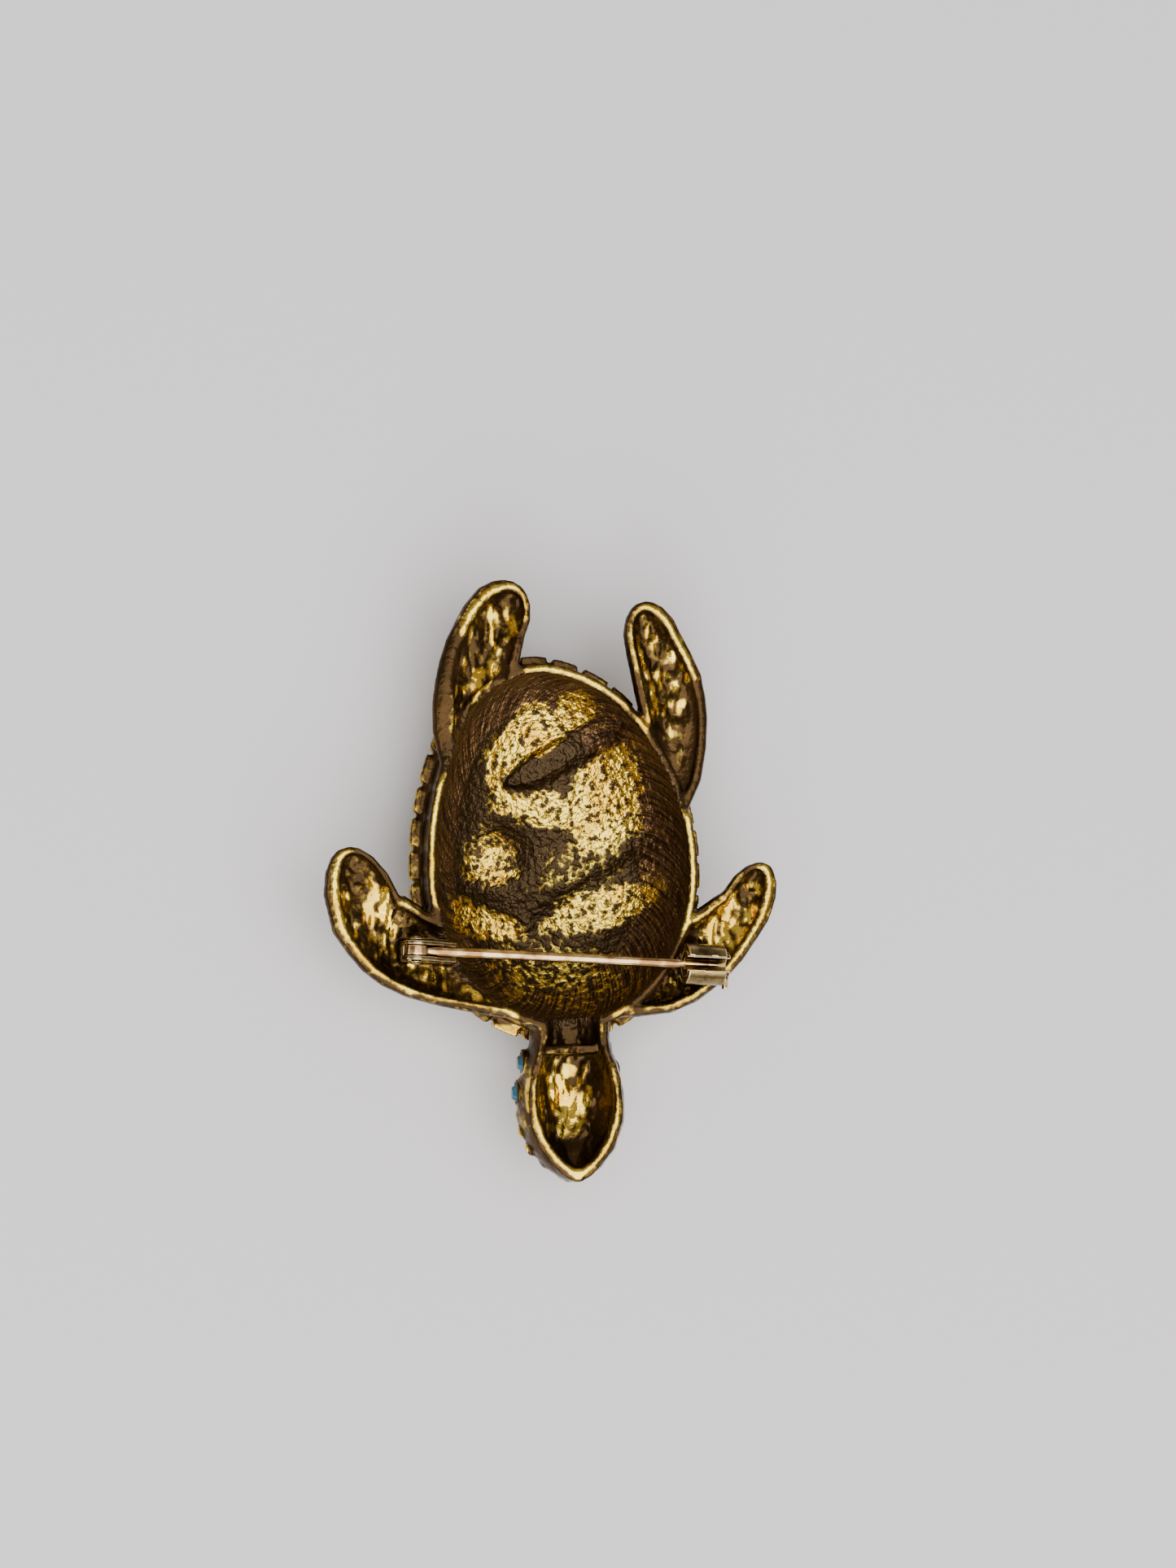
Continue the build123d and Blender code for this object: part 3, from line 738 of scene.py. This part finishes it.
def crowned_skin():
    """The casting up to its rim as one even skin, with its rims rounded, and lowered where they are worn.

    Also gives how much of a rim's top each point is, how much painted shade dulls the rims there and how much
    lower."""
    work = in_millimetres("turtle_casting")
    skin = front_skin(work)
    cut_at(work, rim_z + skin_top, keep_above=False)
    top_source = work.copy()
    work.from_mesh(pebbles(skin))
    surface = Surface(remeshed(as_mesh(work, "turtle"), casting_step))
    on_top = surface.points[:, 2] > rim_z - rim_top_band
    edge = rim_edge_distance(top_source, surface.points[on_top, :2])
    top_source.free()
    aside = np.clip(rim_half_width - edge, 0, rim_half_width) / rim_half_width
    top = np.zeros(len(surface.points))
    top[on_top] = 1 - smooth(0.35, 0.8, aside)
    surface.points[on_top, 2] = rim_z - rim_crown * aside ** 2
    x, y, z = surface.points.T
    dull, lowered = rim_drop_and_shade(x, y)
    surface.points[:, 2] -= lowered * smooth(rim_z - rim_wear_depth, rim_z - 0.2, z)
    rounding = np.maximum(smooth(0.0, 0.3, lowered), 0.15)
    rounding = rounding * smooth(rim_z - rim_wear_depth, rim_z - 0.8, z)
    surface.relax(6, rounding, push=0.0)
    surface.relax(3)
    return surface, SimpleNamespace(top=top, dull=dull, lowered=lowered)


def places(surface, dull):
    """Where each point of the casting's skin is: its share of the shell's outline and its angle on it, the
    way it faces, and whether it is in the hollow of the body, of the head or of a flipper."""
    normals = surface.normals()
    x, y, z = surface.points.T
    share, angle = egg_share(x, y)
    up = normals[:, 2]
    under_rim = z < rim_z - 0.35
    inside = share * shell_half_width < shell_half_width - hollow_inset + 0.7
    in_body = inside & (up > 0) & (z < rim_z - 0.3)
    in_head = (up > 0.1) & (y < neck_y) & (np.abs(x - head_middle_x) < head_hollow_half_width) & under_rim
    in_flipper = (up > 0.35) & (z > flipper_floor_z) & under_rim & (dull < 0.3) & ~in_body & ~in_head
    return SimpleNamespace(share=share, angle=angle, normals=normals, up=up,
                           in_body=in_body, in_head=in_head, in_flipper=in_flipper)


def add_relief(surface, at):
    """Makes the floors of the hollows uneven, pillows the scutes and makes the outline a little ragged.

    Gives the facets' own measure of each point, and how much it sinks towards a seam."""
    floor = surface.blurred(at.in_body & (at.up > 0.25), 3)
    limbs = surface.blurred(at.in_head | at.in_flipper, 4)
    # These stay views of the points, so each step goes on from the one before it
    x, y, z = surface.points.T
    sand = sand_height * lumps(surface.points, 1.9, 1) + fine_sand_height * lumps(surface.points, 0.8, 2)
    surface.points[:, 2] += floor * (floor_relief(x, y) + sand)
    # Hammer-like facets in the hollows of the flippers and the head, drawn out along the brooch
    long_way = facet_width * np.where(np.abs(y) > 5, facet_stretch_at_ends, facet_stretch_in_middle)
    facets = surface.points / np.stack([0 * x + facet_width, long_way, 0 * x + facet_reach], axis=1)
    hammered = facet_height * lumps(facets, 1.0, 3) + fine_facet_height * lumps(facets * 1.9, 1.0, 4)
    surface.points[:, 2] += limbs * hammered
    # On the front the scutes are pillowed, and sink a little towards their seams
    front = (at.share < 0.97) & (at.up < 0.3) & (z < ledge_z + 0.3)
    sink = surface.blurred(front * (1 - smooth(0.2, 1.7, from_seams(x, y))), 1)
    surface.points -= (seam_depth * sink)[:, None] * at.normals
    ragged = smooth(rim_z - 0.9, rim_z - 0.3, z)
    outward = ragged_sideways * ragged * lumps(surface.points, 1.1, 5)
    surface.points[:, :2] += outward[:, None] * at.normals[:, :2]
    surface.points[:, 2] += ragged_upwards * ragged * lumps(surface.points, 1.3, 6)
    return facets, sink


def bare_and_lit_metal(surface, at, rim, facets, sink):
    """How bare the metal is at each point, with painted light in it. Bare gold shows on the rims' tops,
    partly as a painted highlight, on what sticks out and in the lit patches of the hollows, and brown painted
    as shade stays beside and under the rims."""
    normals = surface.normals()
    proud = surface.height_over(surface.average(surface.points), normals)
    proud = surface.blurred(np.clip(proud / 0.02, -1, 1), 1)
    x, y, z = surface.points.T
    # The flat tops of the flippers' rims are very narrow, so they are also found by level and by normal
    narrow_top = smooth(0.9, 0.98, normals[:, 2]) * smooth(rim_z - 0.26, rim_z - 0.1, z + rim.lowered)
    # The rims' tops are bare gold, partly wear and partly a painted highlight, and painted shade dulls them
    # where they are lowered
    bright_rim = surface.blurred(np.maximum(rim.top, narrow_top), 1) * (1 - rim.dull)
    shine = lumps(facets * 1.2, 1.0, 8) + 0.35 * proud + limb_light(x, y)
    # Bright facets and the lit ovals are painted highlights, the shaded ovals and the head's hollow outside
    # its middle oval painted shade; what sticks out is rubbed clean
    head_lit_oval = oval(x, y, (0.6, -25.6), (3.2, 4.0), 0, 0.5)
    polished_and_lit = np.where(at.in_head, smooth(-0.4, 0.3, shine) * head_lit_oval,
                        0.22 + 0.78 * smooth(0.15, 0.6, shine))
    hollow = surface.blurred(at.in_body | at.in_head | at.in_flipper, 2)
    bare_and_lit = np.maximum(bright_rim, hollow * np.where(at.in_body, floor_brightness(x, y), polished_and_lit))
    # Outside, the flanks under the rim and at the tail's end are painted brown as shade, less on the head,
    # and the fronts are worn bare
    flank = smooth(rim_z - 5.0, rim_z - 2.5, z) * np.where(y < neck_y, 0.3, 1.0)
    flank = np.maximum(flank, 0.9 * smooth(13.0, 18.0, y)) * smooth(-0.75, -0.35, normals[:, 2])
    # The valleys between the pebbles keep their tarnish
    hump = surface.height_over(surface.blurred(surface.points, 14), normals)
    pebbled = smooth(0.99, 1.05, at.share) * smooth(rim_z - 0.5, rim_z - 1.5, z)
    between = pebbled * (1 - smooth(-0.02, 0.05, hump))
    worn = (0.8 + 0.4 * proud - 0.9 * sink) * (1 - flank) * (1 - 0.85 * between)
    return np.maximum(bare_and_lit, (1 - hollow) * worn * (z < rim_z - 0.3))


def turtle():
    """The casting up to the rim, with one skin, soft rims, worn scutes and its uneven hollows."""
    surface, rim = crowned_skin()
    at = places(surface, rim.dull)
    facets, sink = add_relief(surface, at)
    bare_and_lit = bare_and_lit_metal(surface, at, rim, facets, sink)
    z = surface.points[:, 2]
    surface.store()
    # Bare metal from wear and painted highlights share one attribute, with painted shade where it is low
    surface.keep("bare_and_lit", surface.blurred(bare_and_lit, 1))
    surface.keep("sandy", surface.blurred(at.in_body, 2))
    surface.keep("brushed", surface.blurred(at.in_body & (at.up < 0.8), 3))
    surface.keep("wall_way", np.stack([at.angle * wall_radius + z * brush_slant, z, 0 * z], axis=1))
    body = thinned(surface.mesh, casting_triangles)
    return finished("turtle_body", body, "brooch", casting_metal, ["turtle_casting"])


def softened(work, name):
    """A finding's shape with its edges rounded, as tumbling leaves them, and marked where they wear and get a
    painted highlight.
    """
    surface = Surface(remeshed(as_mesh(work, name), findings_step))
    surface.relax(edge_wear[name])
    normals = surface.normals()
    out = surface.height_over(surface.average(surface.points), normals)
    surface.keep("worn_and_lit_edge", surface.blurred(smooth(0.0035, 0.009, out), 1))
    return surface.mesh


def soldered_findings():
    """The bracket of the hinge and the barrel of the catch, which stand on the casting."""
    work = in_millimetres("turtle_casting")
    cut_at(work, rim_z + findings_foot, keep_above=True)
    mesh = softened(work, "findings")
    return finished("soldered_findings", mesh, "brooch", findings_metal, ["turtle_casting"])


def lathed(profile, sides):
    """A closed ring from a profile of (radius, height) points, round Z."""
    work = bmesh.new()
    turns = [2 * math.pi * k / sides for k in range(sides)]
    rings = [[work.verts.new((r * math.cos(turn), r * math.sin(turn), h)) for turn in turns]
             for r, h in profile]
    for before, after in zip(rings, rings[1:] + rings[:1]):
        for k in range(sides):
            work.faces.new((before[k], before[(k + 1) % sides], after[(k + 1) % sides], after[k]))
    bmesh.ops.recalc_face_normals(work, faces=work.faces)
    return as_mesh(work, "ring")


def stone_collar(name):
    """The cup's edge round a stone, rolled over a little, with its foot in the head's flank."""
    table, way = stone_places[name]
    top = stone_seat - stone_crown
    wall = (collar_inside + collar_outside) / 2
    mesh = lathed([(collar_outside, top - collar_height), (collar_outside, top - 0.1),
                   (collar_outside - 0.08, top), (wall, top + 0.04), (collar_inside + 0.05, top),
                   (collar_inside, top - 0.08), (collar_inside, top - collar_height)], 40)
    mesh.transform(Matrix.Translation(table) @ way.to_track_quat("Z", "Y").to_matrix().to_4x4())
    return finished("collar_" + name, mesh, "brooch", casting_metal)


turtle()
soldered_findings()
for stone in stone_places:
    stone_collar(stone)
finished("worn_pin", softened(in_millimetres("pin_stem"), "pin"),
         "pin", wire_metal, ["pin_stem"])
finished("worn_rivet", softened(in_millimetres("hinge_rivet"), "rivet"),
         "brooch", findings_metal, ["hinge_rivet"])
finished("worn_sleeve", softened(in_millimetres("catch_sleeve"), "sleeve"),
         "sleeve", findings_metal, ["catch_sleeve"])
for stone in stone_places:
    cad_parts[stone].data.materials.clear()
    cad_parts[stone].data.materials.append(teal_glass)


# Floor, light and camera

def soft_light(name, towards, distance, half_angle, strength):
    """A round soft light, seen from the brooch under the given half angle."""
    lamp_data = bpy.data.lights.new(name, "AREA")
    lamp_data.shape = "DISK"
    lamp_data.size = 2 * distance * math.tan(math.radians(half_angle))
    lamp_data.energy = strength * lamp_data.size ** 2
    lamp = bpy.data.objects.new(name, lamp_data)
    middle = Vector((0, 0, rim_z * MM))
    lamp.location = middle + Vector(towards).normalized() * distance
    lamp.rotation_euler = (middle - lamp.location).to_track_quat("-Z", "Y").to_euler()
    bpy.context.scene.collection.objects.link(lamp)


board = bpy.data.meshes.new("board")
board.from_pydata([(-3, -3, 0), (3, -3, 0), (3, 3, 0), (-3, 3, 0)], [], [(0, 1, 2, 3)])
board.materials.append(matte_board())
floor = bpy.data.objects.new("floor", board)
bpy.context.scene.collection.objects.link(floor)

world = bpy.data.worlds.new("studio")
bpy.context.scene.world = world
world.use_nodes = True
background = world.node_tree.nodes["Background"]
background.inputs["Color"].default_value = linear("#d8d0c8")
background.inputs["Strength"].default_value = 0.75
soft_light("overhead", towards=(0.02, -0.34, 0.94), distance=1.0, half_angle=41, strength=8.3)
soft_light("window", towards=(-0.15, -0.85, 0.50), distance=1.0, half_angle=20, strength=8.0)

# The camera looks down from the brooch's left and a little from its head's end. The middle of the
# photograph is 2.4 mm right of and 5.6 mm above the middle of the rim, and it is 118 mm wide at the rim.
away = Vector((-0.241, -0.093, 0.966)).normalized()
right = Vector((0.970, 0.0, 0.242)).normalized()
up = away.cross(right)
aim = Vector((0, 0, rim_z * MM)) + right * 2.408 * MM + up * 5.592 * MM
camera_distance = 0.55
photo_width = 118 * MM
camera_data = bpy.data.cameras.new("camera")
camera_data.sensor_fit = "HORIZONTAL"
camera_data.sensor_width = 36
camera_data.lens = camera_data.sensor_width * camera_distance / photo_width
camera_data.clip_start = 0.01
camera = bpy.data.objects.new("camera", camera_data)
turned = Matrix((right, up, away)).transposed().to_4x4()
camera.matrix_world = Matrix.Translation(aim + away * camera_distance) @ turned
bpy.context.scene.collection.objects.link(camera)
bpy.context.scene.camera = camera
